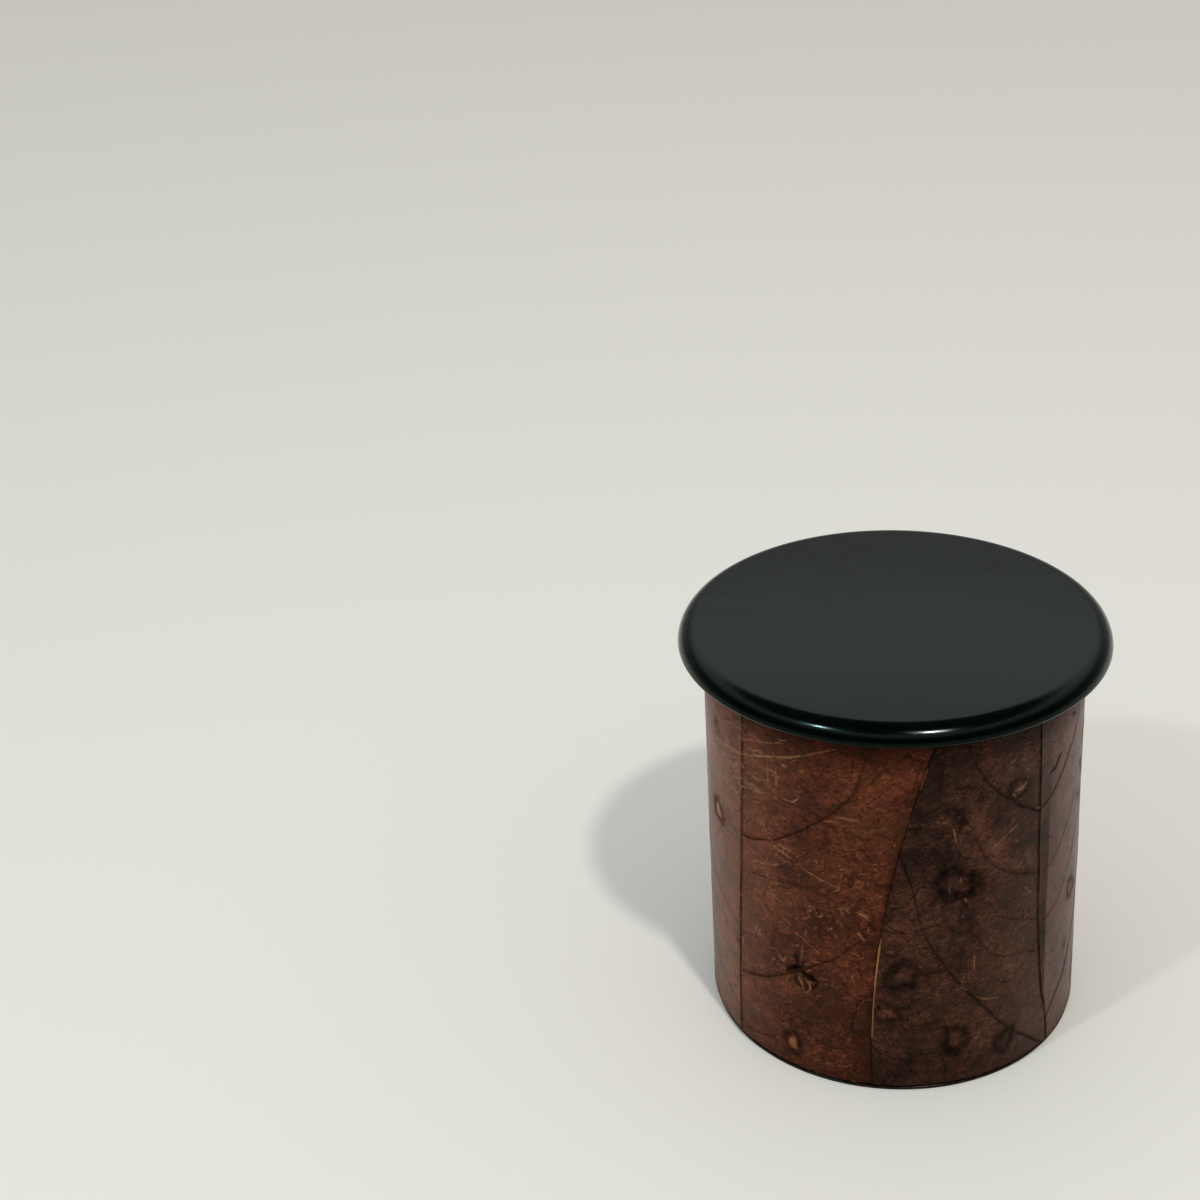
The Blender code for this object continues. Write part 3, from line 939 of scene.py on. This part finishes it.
DARK_SPOTS = (
    (11, 42.4, 4.2, 1, 0.35), (1.9, 24.5, 3.4, 0.88, 0.9), (-0.7, 16.7, 2.6, 0.9, 1.1),
    (11.3, 10.2, 3.2, 0.85, 0.3), (20.7, 6.7, 2.6, 0.75, 0.2), (16, 4.6, 2.2, 0.55),
    (21.8, 46.6, 3.2, 0.5), (22.3, 57.7, 2.6, 0.55, 1, 0, 0.8), (8.6, 55.1, 2.6, 0.55, 0.6),
    (20.6, 19.6, 0.8, 0.75, 0, 0, 1.4), (14.6, 20.6, 0.8, 0.6, 0, 0, 1.4), (23.9, 23.6, 0.8, 0.65),
    (43.5, 46.1, 1.4, 0.7), (40.6, 28.4, 2.4, 0.6, 0.5), (49, 57, 3.2, 0.65, 0.4), (50.6, 19, 2.8, 0.6),
    (38.4, 17.6, 1.2, 0.7), (46, 7.4, 2.4, 0.55, 0.6),
)
DARK_SMUDGES = (
    (0.85, 1.5, [(10.4, 57.4), (11.4, 55.6), (11.4, 53)]),
    (0.6, 1.3, [(11.6, 61.2), (14.2, 60.4), (15, 58.6), (14.8, 56.2)]),
    (0.62, 1.2, [(2.4, 57.9), (4.4, 57), (5.6, 55.4), (7.2, 56.9), (10.2, 57.2)]),
    (0.62, 0.9, [(1.8, 54), (5.4, 53.8), (8, 53), (10.2, 52.9)]),
    (0.5, 1, [(3.4, 55.2), (5, 55.6)]),
    (0.7, 0.6, [(20.2, 58.4), (21.6, 59.6), (24.6, 58.8)]),
    (0.7, 0.6, [(21.8, 56), (23.4, 56.6), (24.6, 57.4)]),
    (0.85, 0.45, [(4.4, 26), (5.4, 24.9), (7.4, 24.9)]),
    (0.85, 0.5, [(-2.4, 35.4), (-2, 33)]),
    (0.9, 0.45, [(30.2, 57.6), (31.6, 58.1), (32.6, 59.2), (33.8, 59.8)]),
    (0.6, 0.45, [(31.5, 53.4), (33, 54.4)]),
    (0.55, 1, [(13.4, 35.6), (14.2, 30)]),
    (0.5, 1.1, [(43, 52.6), (44.8, 51.4), (45.6, 48.6)]),
    (0.7, 0.5, [(36.4, 65.8), (39, 64.4)]),
    (0.65, 0.5, [(52.6, 47), (53.8, 44.4)]),
)
DARK_BLOBS = (
    (8, 52, 9, 16, -0.2), (22, 20, 8, 14, 0.25), (7.8, 55, 1.4, 1, 0.8), (14.1, 54.2, 1.8, 1.8, 0.7),
    (15.6, 56.8, 0.9, 0.9, 0.6), (18.6, 47, 2, 2.4, 0.7), (25, 43.8, 0.8, 1.6, 0.7),
    (0.6, 34.7, 1.8, 0.6, 0.6), (42, 35, 9, 50, 0.3), (47, 50, 6, 12, -0.4), (44, 16, 7, 9, -0.3),
)
DARK_RUBBED = (
    (0.4, [(16.7, 47.7), (20.8, 50), (25, 51.8)]),
    (0.35, [(16.9, 47.4), (20, 49.2), (22.4, 50.6)]),
    (0.5, [(9.6, 54.2), (10.4, 52.6), (10.6, 50.4)]),
    (0.42, [(6.8, 55.4), (9.2, 54.6)]),
    (0.55, [(20.9, 57.9), (22.4, 57.7), (24.2, 58.3)]),
    (0.5, [(21, 57.4), (21.6, 56.4)]),
    (0.4, [(22, 57.6), (24.4, 57.2)]),
    (0.45, [(11.6, 43.8), (11.7, 42.4)]),
    (0.45, [(9.6, 43), (9.7, 40.6)]),
    (0.5, [(3.4, 39.4), (3.9, 38.4), (4.5, 37)]),
    (0.45, [(12.3, 39.6), (12.7, 38.4)]),
    (0.55, [(14.4, 27.8), (14.5, 23.9)]),
    (0.45, [(16.2, 27.8), (18, 26.4), (19, 24.6)]),
    (0.5, [(12, 21.3), (13.2, 20.2)]),
    (0.45, [(14.6, 18.6), (17, 17.2), (21, 16.4)]),
    (0.55, [(4.4, 26.6), (5.2, 26.1)]),
    (0.5, [(23.4, 66), (25, 65.7)]),
    (0.4, [(22, 64), (20.2, 63.2)]),
    (0.45, [(24.4, 37.6), (26.4, 35.2)]),
    (0.45, [(29, 36.6), (29.6, 36)]),
    (0.5, [(14.5, 9.5), (15.8, 9.3)]),
)
DARK_SCRATCHES = (
    (24, 44, 2.5, 12, 36, 28, 0.38, 1.6, 30), (14, 26, 5, 8, 34, -55, 0.32, 1.5, 40),
    (37, 45, 4, 16, 44, 35, 0.42, 2.2), (8, 42, 6, 14, 50, 10, 0.3, 1.3, 50),
    (47, 30, 5, 14, 40, -20, 0.4, 2, 50),
)


def draw_all(draw, rows):
    """Calls one of a Wall's methods once for each row of a table."""
    for row in rows:
        draw(*row)


def draw_front_left():
    """The reddish leaf."""
    angle, drift = SEAMS["front_left"]
    wall = Wall((angle - FULL_TURN, drift), SEAMS["front_right"], seed=3)
    # Paler left of the midrib: partly the leaf's own colour, partly a painted sheen where the wall turns
    # away.
    wall.past(RED_MIDRIB, -1, 0.55)
    wall.past([(-27.8, 0), (-27.8, 72)], -1, 0.20)
    draw_all(wall.vein, RED_VEINS)
    for strength, points in feather(RED_MIDRIB, (6, 24, 43, 60), 19.0, 17.0, -1, 5):
        wall.vein(0.5 * strength, points)
    wall.midrib(RED_MIDRIB, weight=0.85)
    wall.rub(0.42, [(-30.4, 2.0), (-30.0, 14.0), (-29.2, 26.0), (-28.8, 36.0)], width=0.22)
    draw_all(wall.smudge, RED_SMUDGES)
    wall.spot(*RED_SCAR)
    draw_all(wall.smudge, RED_SCAR_SMUDGES)
    draw_all(wall.spot, RED_SPOTS)
    draw_all(wall.blob, RED_BLOBS)
    draw_all(wall.rub, RED_RUBBED)
    s, z = RED_STAR
    for turn in RED_STAR_RAYS:
        ray = 2.0 * np.array([math.cos(math.radians(turn)), math.sin(math.radians(turn))])
        wall.rub(0.45, [RED_STAR, (s + ray[0], z + ray[1])], width=0.16)
    for s, z in RED_FLAKES:
        wall.rub(0.75, [(s - 0.5, z), (s + 0.5, z + 0.1)], width=0.32)
    draw_all(wall.scratches, RED_SCRATCHES)
    wall.edges(worn=[])
    wall.weather_and_shade()
    return wall


def draw_front_right():
    """The dark leaf, which lies over the reddish one."""
    wall = Wall(SEAMS["front_right"], SEAMS["back_right"], seed=8)
    # Paler beyond the fold: partly the leaf's own colour, partly painted light for the side that catches more
    # light.
    wall.past([(DARK_FOLD, 0), (DARK_FOLD, 72)], 1, 0.60)
    rib, heights = np.transpose(DARK_MIDRIB)
    # Painted shade: the fold between the midrib and DARK_FOLD is darker, most of all low down.
    wall.dark = np.interp(wall.z, (30.0, 55.0), (0.42, 0.15))
    wall.dark *= np.clip((wall.s - np.interp(wall.z, heights, rib)) / 0.3, 0, 1)
    wall.dark *= np.clip((DARK_FOLD - wall.s) / 0.3, 0, 1)
    draw_all(wall.vein, DARK_VEINS)
    wall.midrib(DARK_MIDRIB)
    draw_all(wall.spot, DARK_SPOTS)
    draw_all(wall.smudge, DARK_SMUDGES)
    draw_all(wall.blob, DARK_BLOBS)
    draw_all(wall.rub, DARK_RUBBED)
    draw_all(wall.scratches, DARK_SCRATCHES)
    wall.edges(worn=[(10.5, 31.0, 0.75), (20.5, 31.5, 1.0), (60.0, 67.0, 0.4)])
    wall.weather_and_shade()
    return wall


def draw_back_leaf(left, right, lean, seed):
    """A leaf of the back, drawn by rule: a midrib down its middle and arching side veins."""
    wall = Wall(left, right, seed)
    foot = (margin(*left, 0.0) + margin(*right, 0.0)) / 2
    midrib = [(foot, 0), (foot + 0.2 * lean, 22), (foot + 0.5 * lean, 46), (foot + lean, 72)]
    half = (margin(*right, 0.0) - margin(*left, 0.0)) / 2
    wall.past(midrib, 1, 0.35)
    for side in (-1, 1):
        for strength, points in feather(midrib, (1, 14, 28, 44, 58), half, 0.95 * half, side, seed + side):
            wall.vein(strength, points)
    wall.midrib(midrib, weight=0.95)
    draw = np.random.default_rng(seed)
    for _ in range(9):
        s, z = foot + draw.uniform(-0.8, 0.8) * half, draw.uniform(6, 66)
        wall.spot(s, z, draw.uniform(1.2, 3.4), draw.uniform(0.45, 0.85), centre=draw.choice([0.0, 0.6]))
    for _ in range(12):
        s, z = foot + draw.uniform(-0.85, 0.85) * half, draw.uniform(4, 66)
        turn, reach = draw.uniform(0, 2 * math.pi), draw.uniform(2.0, 7.0)
        way = np.array([math.cos(turn), math.sin(turn)]) * reach
        wall.vein(draw.uniform(0.3, 0.55), [(s, z), (s + way[0], z + way[1])], 0.14)
    for _ in range(4):
        s, z = foot + draw.uniform(-0.7, 0.7) * half, draw.uniform(10, 60)
        wall.blob(s, z, draw.uniform(7, 12), draw.uniform(10, 20), draw.choice([-0.3, 0.3]))
        wall.scratches(s, z, 6.0, 7.0, 22, draw.uniform(-50, 40), 0.5, 2.2, 30)
    wall.edges(worn=[(draw.uniform(8, 20), draw.uniform(30, 42), 0.8)])
    wall.weather_and_shade()
    return wall


def add_leaves():
    """The four leaves, each with its own colours."""
    back_right, back_left, front_left = (SEAMS[k] for k in ("back_right", "back_left", "front_left"))
    reddish = (0.047, 0.018, 0.012), (0.160, 0.052, 0.027), (0.062, 0.029, 0.015)
    dark = (0.023, 0.011, 0.009), (0.098, 0.043, 0.030), (0.036, 0.021, 0.014)
    russet = (0.055, 0.018, 0.009), (0.140, 0.048, 0.022), (0.070, 0.031, 0.013)
    umber = (0.040, 0.017, 0.009), (0.110, 0.050, 0.024), (0.060, 0.033, 0.014)
    leaves = {
        "front_left": (draw_front_left(), reddish),
        "front_right": (draw_front_right(), dark),
        "back_right": (draw_back_leaf(back_right, back_left, 3.0, 14), russet),
        "back_left": (draw_back_leaf(back_left, front_left, -2.0, 27), umber),
    }
    for name, (wall, colours) in leaves.items():
        leaf = wall.solid("persimmon_leaf_" + name, leaf_skin("lacquered_leaf_" + name, *colours))
        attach(leaf, "caddy")
        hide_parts("leaf_" + name)


add_camera()
add_floor()
add_light()
set_view()
add_lid()
add_wall_core()
add_leaves()
